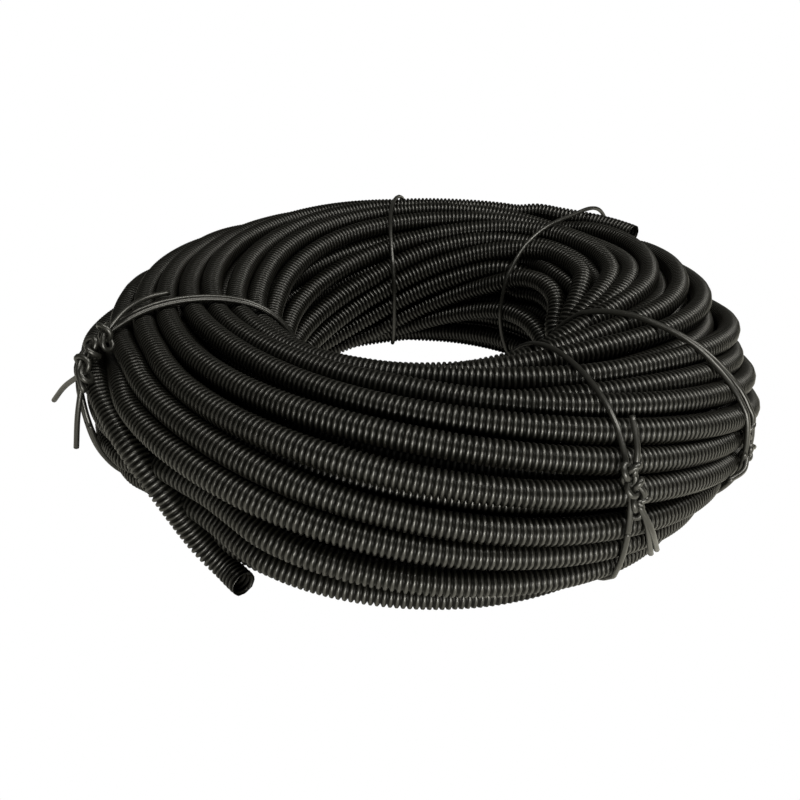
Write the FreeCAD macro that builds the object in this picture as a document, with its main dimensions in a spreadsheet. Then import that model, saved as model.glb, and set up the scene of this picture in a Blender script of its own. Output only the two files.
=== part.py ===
import FreeCAD, Part

# A coil of corrugated conduit, held by five cord ties, lying flat on the floor.
# Millimetres, +Z up, the origin on the coil's axis at floor height.

import math
import os

import Sketcher

Vector = FreeCAD.Vector
Rotation = FreeCAD.Rotation

# Driving dimensions, with the words that the sheet knows them by
SIZES = (
    ("conduit_od", 13.0),
    ("column_pitch", 13.75),
    ("row_rise", 12.4),
    ("bore_radius", 4.9),
    ("wall", 0.6),
    ("rib_pitch", 2.9),
    ("mean_radius", 140.0),
    ("cord", 2.4),
    ("clearance", 0.3),
    ("free_length", 34.0),
    ("knot_length", 9.0),
)

VALLEY = 18  # degrees of each turn hidden on either side of its nearest point to the next
SHOWN_FLATS = 3  # flats that a turn has in section on the coil's top and outside
INNER_FLATS = 2  # flats that it has in section in the eye and underneath
BEND_SIDES = 12  # sides of a free end's bend in section

# Places of the coil's outermost turns, as (column, row) from the middle of the bottom row
BOTTOM = ((-2, 0), (-1, 0), (0, 0), (1, 0), (2, 0))
SIDE = ((2.5, 1), (3.5, 1), (4, 2), (3.5, 3), (4, 4), (3.5, 5), (3, 6))
TOP = ((2.5, 7), (1.5, 7), (0.5, 7), (-0.5, 7), (-1.5, 7), (-2.5, 7))
SUNK = {(2.5, 1), (3.5, 3), (-3.5, 3), (-2.5, 1)}  # set back, so each shows as one flat between its neighbours

# Corners of the coil's section, where a tie turns, counter-clockwise from the bottom
CORNERS = ((2, 0), (3.5, 1), (4, 2), (4, 4), (2.5, 7), (-2.5, 7), (-4, 4), (-4, 2), (-3.5, 1), (-2, 0))
CORNERS_LOWER_END = ((2.85, 0), *CORNERS[2:])
CORNERS_UPPER_END = (*CORNERS[:4], (3.33, 7), *CORNERS[5:])

# Each tie: its angle round the coil, its corners, its knot's place and the way that faces, in degrees,
# and its free ends as (sideways, outwards, up) from the knot
TIES = {
    "tie_left": (-169.0, CORNERS_LOWER_END, (4, 4), 15, ((15, 19, -13), (22, 6, -33))),
    "tie_back": (97.0, CORNERS, (4, 3), 0, ((-4, 5, -12),)),
    "tie_back_right": (51.0, CORNERS_UPPER_END, (4, 3), 0, ((5, 6, -12),)),
    "tie_right": (-31.0, CORNERS, (4, 3), 0, ((-12, 4, -20), (3, 5, 9))),
    "tie_front_right": (-57.5, CORNERS, (3.75, 4.5), 28, ((-3, -8, 24), (6, 11, -36))),
}

# Each free end of the conduit: its ribs, where its bend stops and how far that sweeps, in degrees
# round the coil, the outermost column beside it, its row and the way it points, 1 counter-clockwise
FREE_ENDS = {
    "lower": (3, -128.5, 43, 1.87, 0, 1),
    "upper": (2, 43.0, 16, 2.35, 7, -1),
}

doc = FreeCAD.newDocument("corrugated_conduit")
sheet = doc.addObject("Spreadsheet::Sheet", "sizes")
for line, (word, value) in enumerate(SIZES, 1):
    sheet.set(f"A{line}", word)
    sheet.set(f"B{line}", str(value))
    sheet.setAlias(f"B{line}", word)
doc.recompute()


def size(word):
    return float(getattr(sheet, word))


def new_body(label):
    body = doc.addObject("PartDesign::Body", label)
    body.Label = label
    return body


def new_sketch(body, plane, name):
    """An empty sketch on one of the body's own planes."""
    sketch = body.newObject("Sketcher::SketchObject", name)
    base = next(f for f in body.Origin.OriginFeatures if f.Role == plane)
    sketch.AttachmentSupport = [(base, "")]
    sketch.MapMode = "FlatFace"
    return sketch


def bind(sketch, kind, geometry, point, expression, value):
    """A distance from the sketch's origin to a point, driven by the sheet."""
    index = sketch.addConstraint(Sketcher.Constraint(kind, -1, 1, geometry, point, value))
    sketch.setExpression(f"Constraints[{index}]", expression)


def closed_outline(sketch, points):
    """Straight lines round the points, each given as (x, its expression, y, its expression)."""
    first = sketch.GeometryCount
    for i, here in enumerate(points):
        there = points[(i + 1) % len(points)]
        start = Vector(here[0], here[2], 0)
        end = Vector(there[0], there[2], 0)
        sketch.addGeometry(Part.LineSegment(start, end), False)
    for i in range(len(points)):
        after = first + (i + 1) % len(points)
        sketch.addConstraint(Sketcher.Constraint("Coincident", first + i, 2, after, 1))
    for i, (x, x_rule, y, y_rule) in enumerate(points):
        bind(sketch, "DistanceX", first + i, 1, x_rule, x)
        bind(sketch, "DistanceY", first + i, 1, y_rule, y)


def section_point(column, row, reach, angle, lift=0.0):
    """A point of the coil's section: reach diameters plus lift cords from a turn's middle, at an angle."""
    across = math.cos(math.radians(angle))
    up = math.sin(math.radians(angle))
    x = size("mean_radius") + column * size("column_pitch")
    x += across * (reach * size("conduit_od") + lift * size("cord"))
    z = row * size("row_rise") + (0.5 + up * reach) * size("conduit_od") + (1 + up * lift) * size("cord")
    x_rule = f"sizes.mean_radius + {column} * sizes.column_pitch"
    x_rule += f" + {across * reach:.6f} * sizes.conduit_od + {across * lift:.6f} * sizes.cord"
    z_rule = f"{row} * sizes.row_rise + {0.5 + up * reach:.6f} * sizes.conduit_od"
    z_rule += f" + {1 + up * lift:.6f} * sizes.cord"
    return x, x_rule, z, z_rule


def direction(start, end):
    """The angle from one (column, row) place to another."""
    across = (end[0] - start[0]) * size("column_pitch")
    up = (end[1] - start[1]) * size("row_rise")
    return math.degrees(math.atan2(up, across))


def turns_outline():
    """The scalloped section of the coil, a few flats to each turn that shows."""
    inner_side = tuple((-column, row) for column, row in reversed(SIDE))
    places = (*BOTTOM, *SIDE, *TOP, *inner_side)
    shown = {*SIDE, *TOP}
    points = []
    for i, place in enumerate(places):
        begin = direction(place, places[i - 1])
        span = (direction(place, places[(i + 1) % len(places)]) - begin) % 360
        flats = SHOWN_FLATS if place in shown else INNER_FLATS
        points.append(valley_point(place, places[i - 1]))
        if place in SUNK:
            continue
        for k in range(1, flats):
            turned = begin + VALLEY + (span - 2 * VALLEY) * k / flats
            points.append(section_point(*place, 0.5, turned))
    return points


def valley_point(place, before):
    """The bottom of the groove between two neighbouring turns."""
    middle = ((place[0] + before[0]) / 2, (place[1] + before[1]) / 2)
    depth = 0.5 * math.sin(math.radians(VALLEY))
    return section_point(*middle, depth, direction(before, place) - 90)


def make_turns():
    """The wound turns, as one turned solid."""
    body = new_body("turns")
    sketch = new_sketch(body, "XZ_Plane", "turns_section")
    closed_outline(sketch, turns_outline())
    turned = body.newObject("PartDesign::Revolution", "turns_revolved")
    turned.Profile = sketch
    turned.ReferenceAxis = (sketch, ["V_Axis"])
    turned.Angle = 360
    body.Tip = turned
    return body


def rib_rows(ribs):
    """The corrugated wall's section: out along the ribs and back along the bore, a wall's thickness in."""
    pitch = size("rib_pitch")
    steps = [(n + share, high) for n in range(ribs) for share, high in ((0.0, False), (0.2, True), (0.8, True))]
    steps.append((ribs, False))
    outside = [(share * pitch, high, False) for share, high in steps]
    inside = [(x, high, True) for x, high, _ in reversed(outside)]
    return outside + inside


def rib_point(x, high, inside):
    """A point of the corrugated wall, with its rules."""
    radius = size("conduit_od") / 2 if high else size("bore_radius") + size("wall")
    rule = "sizes.conduit_od / 2" if high else "sizes.bore_radius + sizes.wall"
    if inside:
        radius -= size("wall")
        rule += " - sizes.wall"
    return x, f"{x / size('rib_pitch'):.6f} * sizes.rib_pitch", radius, rule


def make_free_end(name, ribs, sweep, column):
    """One free end: open corrugated mouth at the origin, then a bend the way the coil turns."""
    body = new_body(f"free_end_{name}")
    wall = new_sketch(body, "XY_Plane", f"ribs_{name}")
    closed_outline(wall, [rib_point(*row) for row in rib_rows(ribs)])
    mouth = body.newObject("PartDesign::Revolution", f"mouth_{name}")
    mouth.Profile = wall
    mouth.ReferenceAxis = (wall, ["H_Axis"])
    mouth.Angle = 360
    doc.recompute()

    after_ribs = f"sizes.free_length - {ribs} * sizes.rib_pitch"
    begin = ribs * size("rib_pitch")
    run = body.newObject("PartDesign::Pad", f"run_{name}")
    run.Profile = round_section(body, f"straight_{name}", begin, f"{ribs} * sizes.rib_pitch")
    run.setExpression("Length", after_ribs)
    doc.recompute()
    bore = body.newObject("PartDesign::Pocket", f"bore_{name}")
    bore.Profile = round_section(
        body, f"bored_{name}", size("free_length"), "sizes.free_length", "sizes.bore_radius * 2"
    )
    bore.setExpression("Length", after_ribs)
    doc.recompute()

    curved = across_sketch(body, f"curved_{name}", size("free_length"), "sizes.free_length")
    closed_outline(curved, [rim_point(n * 360 / BEND_SIDES) for n in range(BEND_SIDES)])
    radius = nestled_radius(column)
    axis = curved.addGeometry(Part.LineSegment(Vector(radius, 0, 0), Vector(radius, radius, 0)), True)
    curved.addConstraint(Sketcher.Constraint("Vertical", axis))
    curved.addConstraint(Sketcher.Constraint("PointOnObject", axis, 1, -1))
    rule = f"sizes.mean_radius + {column} * sizes.column_pitch + sizes.conduit_od + sizes.clearance"
    bind(curved, "DistanceX", axis, 1, rule, radius)
    bend = body.newObject("PartDesign::Revolution", f"bend_{name}")
    bend.Profile = curved
    bend.ReferenceAxis = (curved, ["Axis0"])
    bend.Angle = sweep
    body.Tip = bend
    return body


def across_sketch(body, name, along, rule):
    """An empty sketch across the body's X axis, some way along it."""
    sketch = new_sketch(body, "YZ_Plane", name)
    sketch.AttachmentOffset = FreeCAD.Placement(Vector(0, 0, along), Rotation())
    sketch.setExpression("AttachmentOffset.Base.z", rule)
    return sketch


def rim_point(angle):
    """A point on the conduit's outside, with its rules."""
    across = 0.5 * math.cos(math.radians(angle))
    up = 0.5 * math.sin(math.radians(angle))
    diameter = size("conduit_od")
    return across * diameter, f"{across:.6f} * sizes.conduit_od", up * diameter, f"{up:.6f} * sizes.conduit_od"


def round_section(body, name, along, rule, diameter="sizes.conduit_od"):
    """A round section across the body's X axis."""
    sketch = across_sketch(body, name, along, rule)
    sketch.addGeometry(Part.Circle(Vector(0, 0, 0), Vector(0, 0, 1), size("conduit_od") / 2), False)
    sketch.addConstraint(Sketcher.Constraint("Coincident", 0, 3, -1, 1))
    across = sketch.addConstraint(Sketcher.Constraint("Diameter", 0, size("conduit_od")))
    sketch.setExpression(f"Constraints[{across}]", diameter)
    return sketch


def nestled_radius(column):
    """The radius at which a free end lies beside the outermost turn of its row."""
    return size("mean_radius") + column * size("column_pitch") + size("conduit_od") + size("clearance")


def place_free_end(body, bend_stops, column, row, way):
    """Set a free end beside the coil, its bend round the coil's own axis."""
    radius = nestled_radius(column)
    height = size("cord") + size("conduit_od") / 2 + row * size("row_rise")
    angle = math.radians(bend_stops)
    touch = Vector(radius * math.cos(angle), radius * math.sin(angle), height)
    along = Vector(-math.sin(angle), math.cos(angle), 0) * way
    half_turn = Rotation(Vector(1, 0, 0), 180 if way > 0 else 0)
    heading = Rotation(Vector(1, 0, 0), -along)
    body.Placement = FreeCAD.Placement(touch + along * size("free_length"), heading.multiply(half_turn))


def tie_outline(corners, lift):
    """A mitred loop round the turns, lifted off them by a share of the cord's thickness."""
    points = []
    for i, place in enumerate(corners):
        before = direction(corners[i - 1], place)
        after = direction(place, corners[(i + 1) % len(corners)])
        half = ((after - before) % 360) / 2
        stretch = 1 / math.cos(math.radians(half))
        points.append(section_point(*place, 0.5 * stretch, before + half - 90, lift * stretch))
    return points


def make_tie(name, angle, corners, knot_place, facing, ends):
    """One cord round the coil's section, with its knot and free ends on the outer side."""
    body = new_body(name)
    loop = new_sketch(body, "XZ_Plane", f"{name}_loop")
    closed_outline(loop, tie_outline(corners, 0.12))
    closed_outline(loop, tie_outline(corners, 1.0))
    padded = body.newObject("PartDesign::Pad", f"{name}_pad")
    padded.Profile = loop
    padded.Midplane = True
    padded.setExpression("Length", "sizes.cord")
    doc.recompute()
    edges = padded.Shape.Edges
    rims = [f"Edge{i + 1}" for i, e in enumerate(edges) if abs(e.tangentAt(e.FirstParameter).y) < 0.5]
    eased = body.newObject("PartDesign::Chamfer", f"{name}_eased")
    eased.Base = (padded, rims)
    eased.setExpression("Size", "0.25 * sizes.cord")
    doc.recompute()

    x, _, z, _ = section_point(*knot_place, 0.5, facing, 0.8)
    knot_at = Vector(x, 0, z)
    upright = Rotation(Vector(0, 1, 0), -facing)
    knot = body.newObject("PartDesign::AdditivePrism", f"{name}_knot")
    knot.Polygon = 8
    knot.setExpression("Circumradius", "1.35 * sizes.cord")
    knot.setExpression("Height", "sizes.knot_length")
    along_cord = upright.multVec(Vector(0, 0, size("knot_length") / 2))
    knot.Placement = FreeCAD.Placement(knot_at - along_cord, upright)
    body.Tip = knot
    for i, (sideways, outwards, up) in enumerate(ends):
        reach = Vector(outwards, sideways, up)
        tail = body.newObject("PartDesign::AdditivePrism", f"{name}_end_{i}")
        tail.Polygon = 8
        tail.setExpression("Circumradius", "0.5 * sizes.cord")
        tail.Height = reach.Length
        tail.Placement = FreeCAD.Placement(knot_at, Rotation(Vector(0, 0, 1), reach))
        body.Tip = tail
    body.Placement = FreeCAD.Placement(Vector(), Rotation(Vector(0, 0, 1), angle))
    return body


turns = make_turns()
free_bodies = []
for end_name, (ribs, bend_stops, sweep, column, row, way) in FREE_ENDS.items():
    free_body = make_free_end(end_name, ribs, sweep, column)
    place_free_end(free_body, bend_stops, column, row, way)
    free_bodies.append(free_body)
conduit = doc.addObject("Part::Compound", "conduit")
conduit.Label = "conduit"
conduit.Links = [turns, *free_bodies]

subparts = [conduit]
for tie_name, tie in TIES.items():
    subparts.append(make_tie(tie_name, *tie))

doc.recompute()
for item in doc.Objects:
    if "Invalid" in item.State or "Error" in item.State:
        raise RuntimeError(f"{item.Name} did not recompute: {item.State}")

os.makedirs("parts", exist_ok=True)
for item in subparts:
    if item.Shape.isNull() or not item.Shape.isValid():
        raise RuntimeError(f"{item.Label} has no valid shape")
    item.Shape.exportStep(f"parts/{item.Label}.step")
    box = item.Shape.BoundBox
    print(item.Label, len(item.Shape.Solids), "solids", round(item.Shape.Volume), "mm3", box)
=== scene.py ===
import math

import bpy
import numpy as np
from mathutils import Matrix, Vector


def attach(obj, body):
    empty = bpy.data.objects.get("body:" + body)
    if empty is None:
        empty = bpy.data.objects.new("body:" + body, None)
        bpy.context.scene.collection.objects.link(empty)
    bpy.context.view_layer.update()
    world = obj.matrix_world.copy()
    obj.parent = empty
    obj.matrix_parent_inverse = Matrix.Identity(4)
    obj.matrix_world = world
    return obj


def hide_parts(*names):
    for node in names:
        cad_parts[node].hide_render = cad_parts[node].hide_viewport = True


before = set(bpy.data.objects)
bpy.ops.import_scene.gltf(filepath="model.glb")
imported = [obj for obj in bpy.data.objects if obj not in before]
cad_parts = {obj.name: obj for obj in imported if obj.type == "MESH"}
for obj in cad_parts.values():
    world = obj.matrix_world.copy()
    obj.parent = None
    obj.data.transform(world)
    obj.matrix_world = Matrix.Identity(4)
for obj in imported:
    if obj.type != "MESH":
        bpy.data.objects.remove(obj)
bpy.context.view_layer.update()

# A coil of corrugated conduit, tied round with soft cord. The winding and the ties are in millimetres, the
# scene is in metres. Azimuths are degrees round the coil's axis: 0 to the right, -90 towards the viewer.
MM = 0.001
OD = 13.0  # the conduit's outside diameter
R = OD / 2
PITCH = 2.9  # from rib to rib
CORD = 2.9  # the tie cord's thickness
UP = np.array([0, 0, 1.0])
FLAT = (1, 1, 0)  # takes the height out of a point

# The coil's section, a rounded box
RING = 140.0  # radius of the ring that it lies round
MIDDLE = 52.2  # height of its middle
HALF_W = 55.0  # from there to the middles of the outermost strands
HALF_H = 45.7
POWER = 2.44  # how square it is: 2 would be an ellipse

# The winding, worked out at stations along the strand
STEP = 5.0  # degrees from station to station
STATIONS = int(360 / STEP)  # in a turn
START = 33.0  # azimuths of the strand's ends
FINISH = -117.0
SLOTS = 20  # strands that show round the section
ADVANCE = 3  # slots that the strand moves round the section in a turn
FIRST_SLOT = 10.0  # the one that it starts in

# Layers from the outside in: turns, share of the section's size, slots moved in a turn beyond ADVANCE
LAYERS = ((20, 1.0, 0.0), (16, 0.8, 0.75), (11, 0.58, 0.636), (6, 0.35, 0.333), (3, 0.1, 3.667))
LAYER_CHANGE = (0.02, 0.18)  # the part of a turn in which the strand goes down to a layer
SURFACE_TURNS = LAYERS[0][0]
SECOND_TURNS = LAYERS[1][0]
TURNS = sum(turns for turns, _, _ in LAYERS) + 1
COUNT = int(round(((TURNS - 1) * 360 + (FINISH - START) % 360) / STEP)) + 1

# How the strands drift round the section: distance round it, from the outside upwards, of a few slots
CUT = -157.0  # azimuth at which the table begins and ends
DRIFT_SLOTS = (0, 1, 3, 6, 8, 10, 13, 17)
DRIFT = {
    -157: (6, 36, 63, 105, 124, 155, 205, 285),
    -125: (4, 28, 53, 108, 130, 159, 206, 275),
    -95: (-11, 10, 36, 92, 118, 147, 193, 257),
    -75: (-20, -2, 21, 76, 115, 142, 187, 253),
    -55: (-28, -14, 7, 52, 103, 136, 180, 245),
    -40: (-44, -28, -6, 38, 94, 131, 172, 238),
    -28: (-58, -42, -20, 25, 78, 121, 150, 214),
    -15: (-75, -61, -34, 9, 60, 101, 122, 165),
    0: (-88, -73, -49, -4, 47, 85, 103, 145),
    20: (-103, -88, -62, -17, 29, 66, 91, 133),
    45: (-113, -98, -69, -25, 18, 54, 94, 138),
    70: (-113, -97, -66, -20, 22, 55, 110, 158),
    97: (-105, -89, -58, -8, 29, 58, 123, 178),
    115: (-95, -78, -45, 8, 42, 70, 131, 195),
    147: (-70, -53, -20, 42, 66, 93, 142, 212),
    175: (-52, -34, 0, 55, 82, 108, 150, 218),
}

# Surface strands that lie deeper on the right side: slot and half the width in slots
DIPS = ((11.7, 0.8), (14, 0.5), (16, 0.5))
DIP_DEPTH = 0.2  # share of the section's size
DIP_FROM = (-35, -10)  # azimuths between which they go down, and come up again
DIP_TO = (45, 75)

# A strand of the second layer that comes up among them, given in the same way
RISE_SLOT = 6.55
RISE_WIDTH = 0.63
RISE = 0.22
RISE_FROM = (-75, -55)
RISE_TO = (18, 42)

# How the strands wander at random: stations from one random value to the next, and the values' spread
WANDER_SIZE = (8, 0.022)  # in share of the section's size
WANDER_ROUND = (12, 2.2)  # in distance round the section
WANDER_PLACE = (11, 0.8)  # in radius and height
WILDER = 1.2  # how much more they wander in radius and height from the back round to the left
WILDER_FROM = (70, 130)
EVENING_ROUNDS = 4

# The free ends: azimuth, radius and height, with the azimuths at which they leave the winding and are held
LOWER_END = (
    (-210, 174, 60), (-180, 186, 77), (-168, 192, 80), (-158, 193.5, 80), (-151, 193.5, 77), (-145, 193, 72),
    (-140, 193, 66), (-136, 192, 58), (-133, 190, 49), (-130, 188, 37), (-128, 185.5, 25), (-126, 181.5, 15),
    (-123, 181, 9.4), (-117, 186, 7.4),
)
LOWER_BLEND = (-250, -195)
LOWER_HELD = -185
UPPER_END = (
    (33, 184.6, 94.2), (37, 183, 95), (42, 181, 95.5), (47, 177, 96), (52, 172, 97), (58, 169, 97.8),
    (80, 166, 98),
)
UPPER_BLEND = (60, 85)
UPPER_HELD = 60

# How the turns settle against each other
ROUNDS = 360
LOOSE_ROUND = 200  # from this round on they are drawn to their homes less firmly
CALM_ROUND = 260  # from this round on they are straightened less
FIRM_SURFACE = 0.10  # share of the way home in a round, for the surface layer and the others
FIRM_BELOW = 0.03
LOOSE = 0.3
STRAIGHTEN = 0.3
STRAIGHTEN_CALM = 0.12
CLEAR = 1.01  # diameters that the middles of two turns keep apart
GIVE = 0.3  # share of an overlap that a turn gives way by in a round
HELD_PUSH = 1.6  # how much harder a held end pushes
SPARE_W = 1.5  # how far they may go beyond the section
SPARE_H = 0.8
CORD_BENEATH = (-169.0, 97.0, 51.0, -31.0, -57.5)  # azimuths at which the lowest turns are lifted for a cord
LIFT_WIDTH = 9

# Where the section departs from the rounded box
TUCK = 15  # drawn in beneath the lower free end
TUCK_FROM = (-154, -138)
TUCK_TO = (-126, -104)
TUCK_FADE = (50, 72)  # heights between which that dies away
SWELL = 2.6  # swollen into the eye at the front
SWELL_AT = -85
SWELL_WIDTH = 40
WAIST = 3.2  # drawn in by the tie at the left, in width and, by a share of it, in height
WAIST_AT = -168
WAIST_WIDTH = 16
WAIST_FLAT = 0.4

# Which stations show: directions round a strand, and looks tilted from each
LOOKS = 24
TILTS = (-0.7, 0.0, 0.7)
UPWARDS = -0.3  # looks that point down more than this aren't tried
TIGHT = 0.96  # share of the radius within which a turn blocks a look
FAR_OFF = 1e6  # where the stations are put that the last turn doesn't have

# The conduit's form
RIB_AT = np.array([0.0, 0.29, 0.5, 0.71])  # a rib's rings, as shares of its pitch, and their radii
RIB_OUT = np.array([4.95, 6.35, 6.5, 6.35])
RIB_TOP = 2  # the ring on a rib's top
MOUTH_AT = np.array([0.0, 0.25, 0.5, 0.75])  # the same for the inside, from a mouth's rim inwards
MOUTH_IN = np.array([6.1, 5.8, 4.7, 5.8])
MOUTH_RIBS = 8
LIP = 0.3  # the wall's thickness at the rim
PLUG = 0.02  # radius at which the inside is closed
RAGGED = (-0.35, 0.15)  # how far the cut edge departs from round
END_RIBS = 24  # at each end, made rounder than the rest
SIDES = 10
MOUTH_SIDES = 24
CROWDED = 0.32  # how much closer together the sides are where the strand faces out of the coil
FINE = 6  # points of the strand's middle line from station to station
REACH = 1.5  # to both sides of a point, for the strand's direction there
RUN_RIBS = 400  # ribs in one length at most
GROUP_LIMIT = 180000  # triangles in one piece at most
CORE_RADIUS = 6.1  # hidden lengths are plain
CORE_SIDES = 8
CORE_RIBS = 4  # ribs from ring to ring

# The ties' cords
CORD_SIDES = 8
LOOP_STEP = 5  # degrees round the section
LOOP_FINE = 3  # steps from point to point of a loop, and of a free end
END_FINE = 6
FAN = np.arange(-80, 81, 4)  # degrees to both sides within which turns can hold a cord off
BEDDING = 0.42  # share of the cord's thickness from the turns to its middle
GATHER = 5  # how suddenly a tie's strands spread out towards its outer side
SLACK_AT = 44  # degrees round the section at which a cord hangs loose
SLACK_WIDTH = 26
LOOP_ROUNDS = 6
SINK = 0.6  # how far evening out may draw a cord into the turns
KNOT_POINTS = 49
KNOT_WIDTH = 0.62  # in sizes of the knot, like its length and depth
KNOT_LENGTH = 0.85
KNOT_DEPTH = 0.75
ASIDE = (0.3, 0.2, 0.93)  # a direction in which no cord starts out

# inner, outer: azimuths in the eye and outside the coil; bow: degrees that it bends aside on top
# strands: for each turn of the cord degrees aside and lift; apart: share of those degrees kept in the eye
# slack: how loosely it hangs; knots: azimuth, radius, height, lean; size: of the knots; ends: of the cord
TIES = {
    "tie_left": dict(
        inner=-157, outer=-154.5, bow=-6, strands=((-1.5, 0), (0, 0.9), (1.3, 0.2)), apart=0.7, slack=0.6,
        knots=((-155, 184, 100, 30), (-153.5, 192, 95, -30), (-151.5, 198, 89, 60)), size=3.2,
        ends=(
            ((-151.5, 200, 86), (-156.5, 209, 72), (-160, 217, 58)),
            ((-151, 200, 84), (-150.5, 206, 65), (-151, 210, 45)),
            ((-155, 184, 101), (-159, 172, 107), (-163, 160, 108), (-165.5, 148, 107)),
            ((-152, 199, 88), (-149.5, 201, 80), (-151, 201, 90), (-153.5, 194, 97)),
        ),
    ),
    "tie_back": dict(
        inner=104.6, outer=92.8, bow=0, strands=((0, 0),), apart=0, slack=0,
        knots=((94.5, 201.5, 42, 0),), size=1.8,
        ends=(((94.5, 202, 40), (95, 206, 36), (96, 208, 30)),),
    ),
    "tie_back_right": dict(
        inner=44, outer=44, bow=0, strands=((0, 0),), apart=0, slack=5.5,
        knots=((44.5, 201.5, 42, 0),), size=1.8,
        ends=(((44.5, 202, 40), (44, 206, 36), (43, 208, 30)),),
    ),
    "tie_right": dict(
        inner=-26, outer=-34, bow=0, strands=((-1.2, 0), (1.2, 0.3)), apart=0.02, slack=0,
        knots=((-33.2, 201, 60, 10), (-33.4, 203, 50, 70)), size=2.5,
        ends=(((-33.5, 203, 50), (-36.5, 205, 45), (-40, 202, 44)),),
    ),
    "tie_front_right": dict(
        inner=-54, outer=-63, bow=0, strands=((0, 0),), apart=0, slack=0,
        knots=((-63.3, 199.5, 83, 0), (-62.5, 201.5, 75, 25), (-62, 202, 66, -15)), size=2.4,
        ends=(
            ((-63, 201, 82), (-62, 197, 93), (-61, 188, 103.5)),
            ((-62.4, 203, 70), (-61.1, 206, 57), (-57.9, 201, 32)),
            ((-62.4, 204, 68), (-60.5, 207, 54), (-57.2, 202, 34)),
        ),
    ),
}

# Looks
POLISH = 0.5  # how strongly plain materials reflect
PLASTIC_COLOR = (0.004, 0.004, 0.003)
PLASTIC_ROUGH = 0.34
PLASTIC_DARK = (0.0032, 0.0031, 0.0024, 1)  # its cloudy tint lies between these
PLASTIC_PALE = (0.0062, 0.0059, 0.0044, 1)
PLASTIC_SMOOTHEST = 0.30  # and its cloudy roughness between these
PLASTIC_ROUGHEST = 0.46
CLOUD_SCALE = 60
CLOUD_DETAIL = 6
# Painted shade in the grooves between the ribs: a darker colour and less polish, standing in for the shade
# that the ribs cast there
GROOVE_SHADE_COLOR = (0.0016, 0.0016, 0.0013, 1)
GROOVE_SHADE_POLISH = 0.06
RIB_POLISH = 0.55
GROOVE_EDGE = (0.2, 0.4)  # shares of the pitch between which the painted groove shade gives way to the rib
SEAM_WIDTH = 0.014  # half the moulding line's width, as a share of the way round the strand
SEAM_DEPTH = 0.75  # share of a rib's look that it takes away
SEAM_SCALE = 2.5  # how soon it wanders
CORD_COLOR = (0.006, 0.006, 0.005)
CORD_ROUGH = 0.36
GRAIN_SCALE = 400
GRAIN_STRENGTH = 0.15
GRAIN_DEPTH = 0.0003
FLOOR_COLOR = (0.85, 0.84, 0.78)
FLOOR_ROUGH = 0.8
FLOOR_SIZE = 12
SKY_COLOR = (1, 0.98, 0.87, 1)
SKY_STRENGTH = 0.11
WHITE = (1, 1, 1, 1)
LAMP_COLOR = (1, 0.975, 0.88)

# Name, place, target, size and power
LIGHTS = (
    ("key", (0.05, -0.42, 1.3), (0, 0, 0.05), (0.45, 0.45), 11.5),
    ("fill", (0.8, -0.1, 1.0), (0.05, 0, 0.05), (0.5, 0.5), 13.5),
    ("low", (0.2, -1.1, 0.15), (0, 0, 0.02), (0.6, 0.25), 15),
)
CAMERA_AT = (0, -0.4682, 0.2901)
CAMERA_AIM = (0, 0, 0.0522)
CAMERA_SENSOR = 36
CAMERA_LENS = 36.98
CAMERA_SHIFT = (-0.0265, -0.0638)
CAMERA_NEAREST = 0.01

rng = np.random.default_rng(7)


def ease(x, low, high):
    """0 below low, 1 above high, smooth between."""
    t = np.clip((x - low) / (high - low), 0, 1)
    return t * t * (3 - 2 * t)


def hump(x, middle, width):
    """1 at the middle, dying away to both sides."""
    return np.exp(-((x - middle) / width) ** 2)


def away(az, other):
    """Degrees from one azimuth to another, the short way round."""
    return (az - other + 180) % 360 - 180


def unit(vectors):
    """Vectors of length 1 with the same directions."""
    return vectors / np.linalg.norm(vectors, axis=-1, keepdims=True)


def polar(az, radius, height):
    """A point in space."""
    a = math.radians(az)
    return np.array([radius * math.cos(a), radius * math.sin(a), height])


def between(a, b, c, d, t):
    """Share t of the way from b to c, on a smooth curve through a, b, c and d."""
    square = 2 * a - 5 * b + 4 * c - d
    cube = 3 * b - a - 3 * c + d
    return 0.5 * (2 * b + (c - a) * t + square * t * t + cube * t ** 3)


def extended(points):
    """The points, with one more in line beyond each end."""
    return np.vstack([2 * points[0] - points[1], points, 2 * points[-1] - points[-2]])


def curve(knots, steps):
    """A smooth path through some points, in so many steps from one to the next."""
    p = extended(np.asarray(knots, float))
    shares = np.arange(steps) / steps
    way = [between(*p[i:i + 4], t) for i in range(len(p) - 3) for t in shares]
    return np.array([*way, p[-2]])


def distance_along(points):
    """Distance along a path at each of its points."""
    return np.concatenate([[0], np.cumsum(np.linalg.norm(np.diff(points, axis=0), axis=1))])


def section_curve():
    """The section's perimeter: distance round it and the points there."""
    t = np.radians(np.arange(-180, 180.01, 0.5))
    c, s = np.cos(t), np.sin(t)
    k = (np.abs(c) ** POWER + np.abs(s) ** POWER) ** (-1 / POWER)
    x, z = HALF_W * c * k, HALF_H * s * k
    run = np.concatenate([[0], np.cumsum(np.hypot(np.diff(x), np.diff(z)))])
    return run - np.interp(0, t, run), x, z


CURVE = section_curve()
ROUND = CURVE[0][-1] - CURVE[0][0]


def on_section(p):
    """Points of the section's perimeter at distances p round it."""
    p = (p - CURVE[0][0]) % ROUND + CURVE[0][0]
    return np.stack([np.interp(p, CURVE[0], CURVE[1]), np.interp(p, CURVE[0], CURVE[2])], -1)


def drift_table():
    """Azimuths from CUT on, and the distance round the section of every slot at each of them."""
    columns = []
    for row in DRIFT.values():
        columns.append(np.interp(np.arange(SLOTS), (*DRIFT_SLOTS, SLOTS), (*row, row[0] + ROUND)))
    moved = columns[0][(np.arange(SLOTS) - ADVANCE) % SLOTS]
    columns.append(moved - ROUND * (np.arange(SLOTS) < ADVANCE))
    return np.array([*DRIFT, CUT + 360]), np.array(columns)


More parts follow.
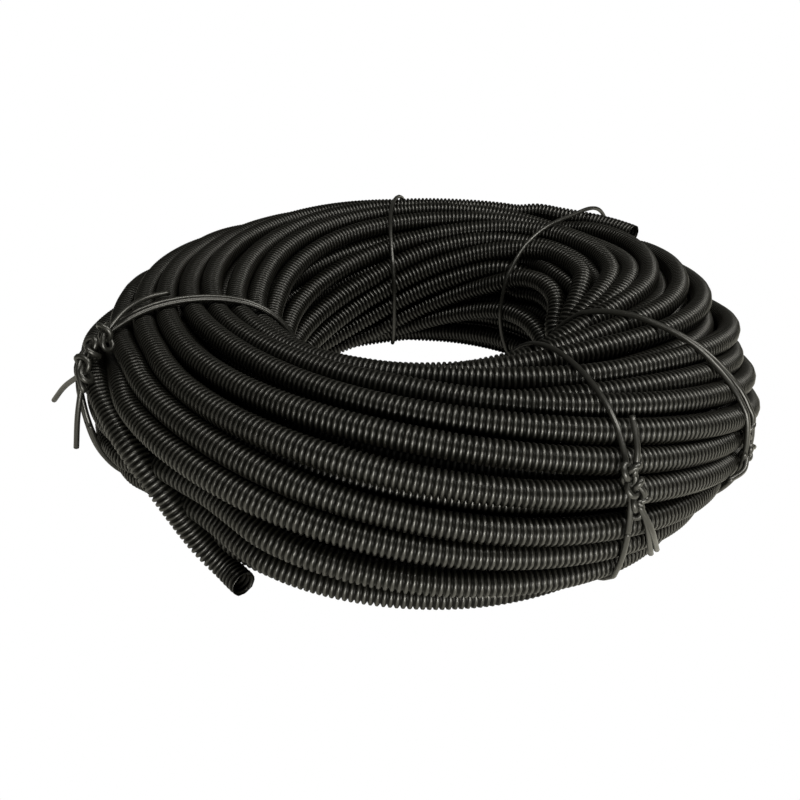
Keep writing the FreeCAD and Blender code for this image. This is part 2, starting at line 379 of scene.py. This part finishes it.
def slot_distance(slot, az):
    """Distance round the section of fractional slots at azimuths in CUT .. CUT + 360."""
    at, columns = drift_table()
    low = np.floor(slot)
    share = slot - low
    i = np.clip(np.searchsorted(at, az, side="right") - 1, 0, len(at) - 2)
    t = (az - at[i]) / (at[i + 1] - at[i])
    ends = []
    for s in (low, low + 1):
        wrap = np.floor(s / SLOTS)
        column = (s - wrap * SLOTS).astype(int)
        ends.append(columns[i, column] * (1 - t) + columns[i + 1, column] * t + wrap * ROUND)
    return ends[0] * (1 - share) + ends[1] * share


def layer_ways(turn):
    """Slot and share of the section's size along the strand, as the layers alone would have them."""
    slot = np.full(COUNT, FIRST_SLOT)
    share = np.ones(COUNT)
    first = 0
    for n, (turns, size, further) in enumerate(LAYERS):
        slot -= further * np.clip(turn - first, 0, turns)
        if n:
            share += (size - LAYERS[n - 1][1]) * ease(turn, first + LAYER_CHANGE[0], first + LAYER_CHANGE[1])
        first += turns
    return slot, share


def home_places(turn, lap, here):
    """Distance round the section and share of its size that each station would like to have."""
    slot, share = layer_ways(turn)
    slot -= ADVANCE * lap
    around = slot % SLOTS
    surface = turn < SURFACE_TURNS
    for middle, width in DIPS:
        deep = surface & (np.abs(around - middle) < width)
        share -= DIP_DEPTH * deep * ease(here, *DIP_FROM) * (1 - ease(here, *DIP_TO))
    second = ~surface & (turn < SURFACE_TURNS + SECOND_TURNS)
    rising = second & (np.abs(around - RISE_SLOT) < RISE_WIDTH)
    shown = rising * ease(here, *RISE_FROM) * (1 - ease(here, *RISE_TO))
    slot += shown * (RISE_SLOT - around)
    share += RISE * shown
    return slot_distance(slot, here), share


def wander(spacing, spread, width):
    """Slow random wandering along the strand."""
    values = rng.normal(size=(int(COUNT / spacing) + 4, width)) * spread
    at = np.arange(COUNT) / spacing
    i = at.astype(int)
    return between(*(values[i + n] for n in range(4)), (at - i)[:, None])


def evened(values, rounds):
    """Values evened out along the strand, its ends kept."""
    for _ in range(rounds):
        values = values.copy()
        values[1:-1] = 0.25 * values[:-2] + 0.5 * values[1:-1] + 0.25 * values[2:]
    return values


def wandering_homes(turn, lap, here):
    """(radius, height) that each station would like to have, without the free ends."""
    around, share = home_places(turn, lap, here)
    share = share + wander(*WANDER_SIZE, 1)[:, 0]
    around = around + wander(*WANDER_ROUND, 1)[:, 0]
    home = on_section(around) * share[:, None] + (RING, MIDDLE)
    home += wander(*WANDER_PLACE, 2) * (1 + WILDER * ease(here, *WILDER_FROM))[:, None]
    return evened(home, EVENING_ROUNDS)


def stated_way(az, points):
    """(radius, height) of a free end at some azimuths."""
    at, radius, height = zip(*points)
    return np.stack([np.interp(az, at, radius), np.interp(az, at, height)], 1)


def with_free_ends(home, az):
    """Homes with the free ends' ways put in, and which stations are held there."""
    lower = az - az[-1] + FINISH
    into = ease(lower, *LOWER_BLEND)[:, None]
    home = home * (1 - into) + stated_way(lower, LOWER_END) * into
    keep = (1 - ease(az, *UPPER_BLEND))[:, None]
    home = home * (1 - keep) + stated_way(az, UPPER_END) * keep
    return home, (lower > LOWER_HELD) | (az < UPPER_HELD)


def by_station(values, fill=0):
    """Values along the strand set out as (station, turn, ...), with fill where the last turn has ended."""
    full = np.full((TURNS * STATIONS, *values.shape[1:]), fill, values.dtype)
    full[:COUNT] = values
    return full.reshape(TURNS, STATIONS, *values.shape[1:]).swapaxes(0, 1)


def by_strand(values):
    """The reverse: values set out as (station, turn, ...) put in a row along the strand."""
    return values.swapaxes(0, 1).reshape(TURNS * STATIONS, *values.shape[2:])[:COUNT]


def lowest_middles(here):
    """Height below which the strand's middle can't go at each station."""
    lowest = np.full(COUNT, R)
    for cord in CORD_BENEATH:
        lowest += CORD * hump(away(here, cord), 0, LIFT_WIDTH)
    return lowest


def push_apart(place, pairs, firmness):
    """By how much the turns overlap at each station, and the move that takes them apart."""
    at = by_station(place)
    off = at[:, :, None, :] - at[:, None, :, :]
    distance = np.sqrt((off ** 2).sum(-1)) + 1e-9
    gap = np.where(pairs, OD * CLEAR - distance, 0)
    itself = np.arange(TURNS)
    gap[:, itself, itself] = 0
    overlap = np.clip(gap, 0, None)
    push = overlap * firmness
    return overlap, by_strand((off / distance[..., None] * push[..., None]).sum(2) * GIVE)


def kept_in(place, tuck, swell, waist):
    """Places with those outside the section, as tuck, swell and waist change it, brought back to its edge."""
    drawn_in = tuck * (place[:, 0] > RING) * (1 - ease(place[:, 1], *TUCK_FADE))
    half_w = HALF_W + SPARE_W - drawn_in - waist + swell * (place[:, 0] < RING)
    half_h = HALF_H + SPARE_H - WAIST_FLAT * waist
    off = (place - (RING, MIDDLE)) / np.stack([half_w, half_h], 1)
    size = (np.abs(off) ** POWER).sum(1) ** (1 / POWER)
    return (place - (RING, MIDDLE)) / np.maximum(size, 1)[:, None] + (RING, MIDDLE)


def settle(home, firm, held, here):
    """Draw the stations home again and again while the turns push each other apart inside the section."""
    tuck = TUCK * ease(here, *TUCK_FROM) * (1 - ease(here, *TUCK_TO))
    swell = SWELL * hump(here, SWELL_AT, SWELL_WIDTH)
    waist = WAIST * hump(away(here, WAIST_AT), 0, WAIST_WIDTH)
    lowest = lowest_middles(here)
    there = by_station(np.ones(COUNT, bool))
    pairs = there[:, :, None] & there[:, None, :]
    firmness = 1 + HELD_PUSH * by_station(held)[:, None, :]
    place = home.copy()
    home[:, 0] -= swell * (home[:, 0] < RING)
    for n in range(ROUNDS):
        place += (firm if n < LOOSE_ROUND else firm * LOOSE) * (home - place)
        straight = place.copy()
        straight[1:-1] = 0.5 * (place[:-2] + place[2:])
        place += (STRAIGHTEN if n < CALM_ROUND else STRAIGHTEN_CALM) * (straight - place)
        place[held] = home[held]
        overlap, move = push_apart(place, pairs, firmness)
        place = np.where(held[:, None], home, kept_in(place + move, tuck, swell, waist))
        place[:, 1] = np.maximum(place[:, 1], lowest)
    print("deepest overlap, mm:", overlap.max(), "meetings of more than 1 mm:", (overlap > 1).sum())
    return place


def wind():
    """The strand's (radius, height) at each station, settled so that the turns rest against each other."""
    az = START + np.arange(COUNT) * STEP
    turn = (az - START) / 360
    lap = np.floor((az - CUT) / 360)
    here = az - 360 * lap
    home, held = with_free_ends(wandering_homes(turn, lap, here), az)
    firm = np.where(turn < SURFACE_TURNS, FIRM_SURFACE, FIRM_BELOW)[:, None]
    return settle(home, firm, held, here)


def exposed_stations(place):
    """Which stations of the strand, or their neighbours, can be seen past the turns round them."""
    middles = by_station(place, FAR_OFF)
    itself = np.arange(TURNS)
    seen = np.zeros((STATIONS, TURNS), bool)
    for n in range(LOOKS):
        facing = n * 2 * math.pi / LOOKS
        start = middles + np.array([math.cos(facing), math.sin(facing)]) * R
        off = middles[:, None, :, :] - start[:, :, None, :]
        for tilt in TILTS:
            way = np.array([math.cos(facing + tilt), math.sin(facing + tilt)])
            if way[1] < UPWARDS:
                continue
            aside = np.abs(off[..., 0] * way[1] - off[..., 1] * way[0])
            blocked = (off @ way > 0) & (aside < R * TIGHT)
            blocked[:, itself, itself] = False
            seen |= ~blocked.any(2)
    seen = by_strand(seen)
    return seen | np.roll(seen, -1) | np.roll(seen, 1)


def ribs_seen(place, run):
    """Which ribs are modelled one by one: those that can be seen, and those at the two ends."""
    count = int(run[-1] / PITCH)
    middles = (np.arange(count) + 0.5) * PITCH
    station = np.searchsorted(run[::FINE], middles)
    seen = exposed_stations(place)[np.clip(station, 0, COUNT - 1)]
    seen[:END_RIBS] = True
    seen[-END_RIBS:] = True
    return seen


def centreline(place):
    """Points of the strand's middle line in space, and the distance along it."""
    at = np.arange((COUNT - 1) * FINE + 1) / FINE
    i = np.minimum(at.astype(int), COUNT - 2)
    p = extended(place)
    fine = between(p[i], p[i + 1], p[i + 2], p[i + 3], (at - i)[:, None])
    angle = np.radians(START + at * STEP)
    points = np.stack([fine[:, 0] * np.cos(angle), fine[:, 0] * np.sin(angle), fine[:, 1]], 1)
    return points, distance_along(points)


def at_distance(points, run, s):
    """Points of a path at distances s along it."""
    return np.stack([np.interp(s, run, points[:, j]) for j in range(3)], 1)


def crossways(points, run, s):
    """The strand's middle at distances s, and two directions across it, the first away from the axis."""
    middle = at_distance(points, run, s)
    tangent = unit(at_distance(points, run, s + REACH) - at_distance(points, run, s - REACH))
    radial = unit(middle * FLAT)
    normal = unit(radial - (radial * tangent).sum(1)[:, None] * tangent)
    return middle, normal, np.cross(tangent, normal)


def sweep(points, run, s, radii, sides, mark):
    """Rings of vertices round the strand, closer together on the side that faces out of the coil."""
    middle, normal, cross = crossways(points, run, s)
    off = middle - unit(middle * FLAT) * RING - (0, 0, MIDDLE)
    face = np.arctan2((off * cross).sum(1), (off * normal).sum(1))
    even = np.arange(sides) * 2 * math.pi / sides
    angle = (face[:, None] + (even - CROWDED * np.sin(even)))[:, :, None]
    ring = normal[:, None, :] * np.cos(angle) + cross[:, None, :] * np.sin(angle)
    return ring_mesh(middle[:, None, :] + ring * radii.reshape(len(s), -1, 1), mark)


def ring_mesh(verts, run):
    """Quads between rings of vertices, with (distance, share of a turn) for each corner."""
    rings, sides, _ = verts.shape
    ring = np.arange(rings - 1)[:, None]
    side = np.arange(sides)[None, :]
    here = ring * sides + side
    beside = ring * sides + (side + 1) % sides
    faces = np.stack([here, beside, beside + sides, here + sides], 2).reshape(-1, 4)
    share = np.linspace(0, 1, sides + 1)
    uv = []
    for ahead, across in ((0, 0), (0, 1), (1, 1), (1, 0)):
        uv.append(np.stack(np.broadcast_arrays(run[ring + ahead], share[side + across]), -1))
    return verts.reshape(-1, 3), faces, np.stack(uv, 2).reshape(-1, 2)


def rib_rings(first, last):
    """Distances and radii of the rings from the top of one rib to the top of another."""
    s = ((np.arange(first, last + 1)[:, None] + RIB_AT) * PITCH).ravel()
    radii = np.tile(RIB_OUT, last + 1 - first)
    return s[RIB_TOP:-1], radii[RIB_TOP:-1]


def ribbed_run(points, run, first, last):
    """A length of conduit with its ribs."""
    s, radii = rib_rings(first, last)
    return sweep(points, run, s, radii, SIDES, s)


def plain_run(points, run, first, last):
    """A hidden length of conduit, without ribs."""
    s = np.linspace(first, last + 1, max(2, (last - first) // CORE_RIBS)) * PITCH
    return sweep(points, run, s, np.full(len(s), CORE_RADIUS), CORE_SIDES, s)


def mouth_wall(rim, way):
    """Rings of a mouth's inside, from the rim to a plug: distances, radii and marks for the shader."""
    shares = (np.arange(MOUTH_RIBS)[:, None] + MOUTH_AT).ravel()
    radii = np.tile(MOUTH_IN, MOUTH_RIBS)
    radii[0] = RIB_OUT[RIB_TOP] - LIP
    at = rim + way * PITCH * np.append(shares, shares[-1])
    return at, np.append(radii, PLUG), at + PITCH / 2


def mouth(points, run, first, last, way):
    """An open end, outside and inside in one piece, cut on a rib's top; way leads inwards, 1 or -1."""
    s, radii = (v[::way] for v in rib_rings(first, last))
    inner_s, inner_radii, inner_mark = (v[::-1] for v in mouth_wall(s[0], way))
    each = np.repeat(np.append(inner_radii, radii)[:, None], MOUTH_SIDES, 1)
    rim = [len(inner_s) - 1, len(inner_s)]
    each[rim] += rng.uniform(*RAGGED, MOUTH_SIDES)
    mark = np.append(inner_mark, s)
    s = np.append(inner_s, s)
    return sweep(points, run, s[::way], each[::way], MOUTH_SIDES, mark[::way])


def strand_parts(points, run, seen):
    """The strand in lengths: those that show, with ribs and the two mouths, and the hidden ones."""
    count = len(seen)
    change = np.flatnonzero(np.diff(seen.astype(int))) + 1
    ends = [0, END_RIBS, count - END_RIBS, count]
    edges = np.unique(np.concatenate([ends, change, np.arange(RUN_RIBS, count, RUN_RIBS)]))
    shown, hidden = [], []
    for first, last in zip(edges[:-1], edges[1:]):
        if first == 0:
            shown.append(mouth(points, run, first, last, 1))
        elif last == count:
            shown.append(mouth(points, run, first, last - 1, -1))
        elif seen[first]:
            shown.append(ribbed_run(points, run, first, last))
        else:
            hidden.append(plain_run(points, run, first, last))
    print("share of ribs that show:", seen.mean(), "length in m:", run[-1] * MM)
    return shown, hidden


def section_at(place, az):
    """(radius, height) of every turn where it passes an azimuth."""
    first = (az - START) % 360 / STEP
    at = np.arange(first, COUNT - 1, STATIONS)
    i = at.astype(int)
    t = (at - i)[:, None]
    return place[i] * (1 - t) + place[i + 1] * t


def hull_reach(middles, angle, reach):
    """How far from the section's middle a cord drawn tight round the turns passes, in one direction."""
    facing = angle + np.radians(FAN)
    outwards = np.stack([np.cos(facing), np.sin(facing)], 1)
    support = ((middles - (RING, MIDDLE)) @ outwards.T).max(0) + reach
    return (support / np.cos(facing - angle)).min()


def tube(path):
    """A cord along a path, closed at both ends, its sides carried along without twisting."""
    tangents = unit(np.gradient(path, axis=0))
    normal = unit(np.cross(tangents[0], ASIDE))
    angle = np.arange(CORD_SIDES)[:, None] * 2 * math.pi / CORD_SIDES
    rings = [np.tile(path[0], (CORD_SIDES, 1))]
    for point, tangent in zip(path, tangents):
        normal = unit(normal - (normal @ tangent) * tangent)
        across = np.cos(angle) * normal + np.sin(angle) * np.cross(tangent, normal)
        rings.append(point + CORD / 2 * across)
    rings.append(np.tile(path[-1], (CORD_SIDES, 1)))
    run = distance_along(path)
    return ring_mesh(np.array(rings), np.array([run[0], *run, run[-1]]))


def loop_path(place, tie, aside, lift):
    """One turn of a tie's cord round the section, drawn tight over the conduit's turns."""
    angles = np.radians(np.arange(0, 360, LOOP_STEP))
    outer = (1 + np.cos(angles)) / 2
    top = np.clip(np.sin(angles), 0, None)
    az = tie["inner"] * (1 - outer) + tie["outer"] * outer + tie["bow"] * top
    az += aside * (tie["apart"] + (1 - tie["apart"]) * outer ** GATHER)
    reach = R + CORD * BEDDING + lift
    tight = np.array([hull_reach(section_at(place, z), a, reach) for z, a in zip(az, angles)])
    far = tight + tie["slack"] * hump(np.degrees(angles), SLACK_AT, SLACK_WIDTH)
    for _ in range(LOOP_ROUNDS):
        far = 0.25 * np.roll(far, 1) + 0.5 * far + 0.25 * np.roll(far, -1)
    far = np.maximum(far, tight - SINK)
    radius = RING + far * np.cos(angles)
    height = np.maximum(MIDDLE + far * np.sin(angles), CORD / 2)
    loop = [polar(*point) for point in zip(az, radius, height)]
    return curve([*loop, loop[0]], LOOP_FINE)


def knot_path(az, radius, height, lean, size):
    """A trefoil, drawn out along a cord that leans by some degrees from upright."""
    outwards = polar(az, 1, 0)
    a = math.radians(lean)
    up = UP * math.cos(a) + np.cross(outwards, UP) * math.sin(a)
    t = np.linspace(0, 2 * math.pi, KNOT_POINTS)[:, None]
    wide = KNOT_WIDTH * (np.sin(t) + 2 * np.sin(2 * t)) * np.cross(up, outwards)
    long = KNOT_LENGTH * (np.cos(t) - 2 * np.cos(2 * t)) * up
    deep = KNOT_DEPTH * -np.sin(3 * t) * outwards
    return polar(az, radius, height) + size * (wide + long + deep)


def tie_cords(place, tie):
    """A tie's turns round the coil, its knots and its free ends."""
    parts = [tube(loop_path(place, tie, aside, lift)) for aside, lift in tie["strands"]]
    parts += [tube(knot_path(*knot, tie["size"])) for knot in tie["knots"]]
    parts += [tube(curve([polar(*point) for point in end], END_FINE)) for end in tie["ends"]]
    return parts


def joined(parts):
    """Several (verts, faces, uv) parts as one."""
    verts, faces, uv = zip(*parts)
    starts = np.cumsum([0, *(len(v) for v in verts)])
    faces = [f + start for f, start in zip(faces, starts)]
    return np.concatenate(verts), np.concatenate(faces), np.concatenate(uv)


def build_mesh(name, parts, material, node):
    """One mesh object from several parts, which shows in place of a node."""
    verts, faces, uv = joined(parts)
    mesh = bpy.data.meshes.new(name)
    mesh.vertices.add(len(verts))
    mesh.vertices.foreach_set("co", (verts * MM).astype(np.float32).ravel())
    mesh.loops.add(faces.size)
    mesh.loops.foreach_set("vertex_index", faces.astype(np.int32).ravel())
    mesh.polygons.add(len(faces))
    mesh.polygons.foreach_set("loop_start", (np.arange(len(faces)) * 4).astype(np.int32))
    mesh.polygons.foreach_set("use_smooth", np.ones(len(faces), bool))
    layer = mesh.uv_layers.new(name="run")
    layer.data.foreach_set("uv", (uv * (MM, 1)).astype(np.float32).ravel())
    mesh.update(calc_edges=True)
    mesh.materials.append(material)
    obj = bpy.data.objects.new(name, mesh)
    bpy.context.scene.collection.objects.link(obj)
    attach(obj, "root")
    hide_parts(node)


def build_turns(parts, material):
    """The strand's lengths that show, in as few pieces as the limit on triangles allows."""
    group, used, number = [], 0, 0
    for part in parts:
        triangles = len(part[1]) * 2
        if used + triangles > GROUP_LIMIT:
            build_mesh(f"conduit_turns_{number}", group, material, "conduit")
            group, used, number = [], 0, number + 1
        group.append(part)
        used += triangles
    build_mesh(f"conduit_turns_{number}", group, material, "conduit")


def feed(tree, target, inputs):
    """Give a shader node's inputs values, or link them to other nodes' outputs."""
    for name, value in inputs.items():
        if isinstance(value, bpy.types.NodeSocket):
            tree.links.new(value, target.inputs[name])
        else:
            target.inputs[name].default_value = value


def shader_node(tree, kind, inputs):
    """A shader node with its inputs."""
    made = tree.nodes.new("ShaderNode" + kind)
    feed(tree, made, inputs)
    return made


def calculation(tree, operation, *values):
    """The result of a calculation in a shader."""
    made = tree.nodes.new("ShaderNodeMath")
    made.operation = operation
    feed(tree, made, dict(enumerate(values)))
    return made.outputs["Value"]


def color_mix(tree, share, low, high):
    """A colour between two, in a shader."""
    made = tree.nodes.new("ShaderNodeMix")
    made.data_type = "RGBA"
    feed(tree, made, {"Factor": share, "A": low, "B": high})
    return made.outputs["Result"]


def spread(tree, share, low, high):
    """A value between two, in a shader."""
    made = shader_node(tree, "MapRange", {"Value": share, "To Min": low, "To Max": high})
    return made.outputs["Result"]


def plain_material(name, color, rough):
    """A material of one colour, its node tree and its shader."""
    made = bpy.data.materials.new(name)
    made.use_nodes = True
    tree = made.node_tree
    shader = tree.nodes["Principled BSDF"]
    feed(tree, shader, {"Base Color": (*color, 1), "Roughness": rough, "Specular IOR Level": POLISH})
    return made, tree, shader


def groove_shade_mask(tree, distance):
    """1 on the ribs and 0 in the grooves between them, which get painted shade."""
    from_groove = calculation(tree, "PINGPONG", distance, PITCH * MM / 2)
    low, high = (PITCH * MM * share for share in GROOVE_EDGE)
    mask = shader_node(tree, "MapRange", {"Value": from_groove, "From Min": low, "From Max": high})
    mask.interpolation_type = "SMOOTHSTEP"
    return mask.outputs["Result"]


def seam_mask(tree, distance, round_share):
    """Less than 1 along the moulding line, which wanders slowly round the strand, and 1 elsewhere."""
    drift = tree.nodes.new("ShaderNodeTexNoise")
    drift.noise_dimensions = "1D"
    feed(tree, drift, {"W": distance, "Scale": SEAM_SCALE})
    seam = calculation(tree, "COMPARE", round_share, drift.outputs["Fac"], SEAM_WIDTH)
    return calculation(tree, "MULTIPLY_ADD", seam, -SEAM_DEPTH, 1)


def conduit_material():
    """Black plastic, cloudy in tint and polish, with painted shade that makes the grooves dark and dull, and
    dark and dull along the moulding line.
    """
    made, tree, shader = plain_material("ribbed_plastic", PLASTIC_COLOR, PLASTIC_ROUGH)
    coords = shader_node(tree, "TexCoord", {})
    noise = {"Vector": coords.outputs["Object"], "Scale": CLOUD_SCALE, "Detail": CLOUD_DETAIL}
    cloud = shader_node(tree, "TexNoise", noise).outputs["Fac"]
    uv = shader_node(tree, "UVMap", {})
    uv.uv_map = "run"
    split = shader_node(tree, "SeparateXYZ", {"Vector": uv.outputs["UV"]})
    seam = seam_mask(tree, split.outputs["X"], split.outputs["Y"])
    # relief is 1 on the ribs and 0 in the grooves, where painted shade darkens the colour and takes away the
    # polish; it is lower along the moulding line too
    relief = calculation(tree, "MULTIPLY", seam, groove_shade_mask(tree, split.outputs["X"]))
    tint = color_mix(tree, cloud, PLASTIC_DARK, PLASTIC_PALE)
    feed(tree, shader, {
        "Base Color": color_mix(tree, relief, GROOVE_SHADE_COLOR, tint),
        "Roughness": spread(tree, cloud, PLASTIC_SMOOTHEST, PLASTIC_ROUGHEST),
        "Specular IOR Level": spread(tree, relief, GROOVE_SHADE_POLISH, RIB_POLISH),
    })
    return made


def cord_material():
    """Soft black cord with a fine grain."""
    made, tree, shader = plain_material("soft_cord", CORD_COLOR, CORD_ROUGH)
    coords = shader_node(tree, "TexCoord", {})
    grain = shader_node(tree, "TexNoise", {"Vector": coords.outputs["Object"], "Scale": GRAIN_SCALE})
    relief = {"Height": grain.outputs["Fac"], "Strength": GRAIN_STRENGTH, "Distance": GRAIN_DEPTH}
    bump = shader_node(tree, "Bump", relief)
    feed(tree, shader, {"Normal": bump.outputs["Normal"]})
    return made


def white_to_camera(tree, lit, white, output):
    """Show the camera plain white, and every other ray the lit surface."""
    path = shader_node(tree, "LightPath", {})
    mix = shader_node(tree, "MixShader", {"Fac": path.outputs["Is Camera Ray"], 1: lit, 2: white})
    feed(tree, tree.nodes[output], {"Surface": mix.outputs["Shader"]})


def build_floor():
    """The floor, which throws light up at the coil and looks white itself."""
    made, tree, shader = plain_material("floor", FLOOR_COLOR, FLOOR_ROUGH)
    white = shader_node(tree, "Emission", {"Strength": 1})
    white_to_camera(tree, shader.outputs["BSDF"], white.outputs["Emission"], "Material Output")
    bpy.ops.mesh.primitive_plane_add(size=FLOOR_SIZE, location=(0, 0, 0))
    floor = bpy.context.object
    floor.name = "floor"
    floor.data.materials.append(made)


def build_world():
    """A dim warm sky, which looks white itself."""
    world = bpy.data.worlds.new("world")
    bpy.context.scene.world = world
    world.use_nodes = True
    tree = world.node_tree
    sky = tree.nodes["Background"]
    feed(tree, sky, {"Color": SKY_COLOR, "Strength": SKY_STRENGTH})
    white = shader_node(tree, "Background", {"Color": WHITE})
    white_to_camera(tree, sky.outputs["Background"], white.outputs["Background"], "World Output")
    bpy.context.scene.view_settings.view_transform = "Standard"


def aimed(name, data, at, target):
    """An object of the scene at a place, turned towards a target."""
    obj = bpy.data.objects.new(name, data)
    bpy.context.scene.collection.objects.link(obj)
    obj.location = at
    obj.rotation_euler = (Vector(target) - Vector(at)).to_track_quat("-Z", "Y").to_euler()
    return obj


def build_light(name, at, target, size, power):
    """A rectangular lamp."""
    light = bpy.data.lights.new(name, "AREA")
    light.shape = "RECTANGLE"
    light.size, light.size_y = size
    light.energy = power
    light.color = LAMP_COLOR
    aimed(name, light, at, target)


def build_camera():
    """The camera, fitted to the photograph."""
    camera = bpy.data.cameras.new("camera")
    camera.sensor_width = CAMERA_SENSOR
    camera.lens = CAMERA_LENS
    camera.shift_x, camera.shift_y = CAMERA_SHIFT
    camera.clip_start = CAMERA_NEAREST
    bpy.context.scene.camera = aimed("camera", camera, CAMERA_AT, CAMERA_AIM)


plastic = conduit_material()
cord_skin = cord_material()

place = wind()
points, run = centreline(place)
shown, hidden = strand_parts(points, run, ribs_seen(place, run))
build_turns(shown, plastic)
build_mesh("conduit_core", hidden, plastic, "conduit")
for name, tie in TIES.items():
    build_mesh(f"{name}_cord", tie_cords(place, tie), cord_skin, name)

build_floor()
build_world()
for light in LIGHTS:
    build_light(*light)
build_camera()
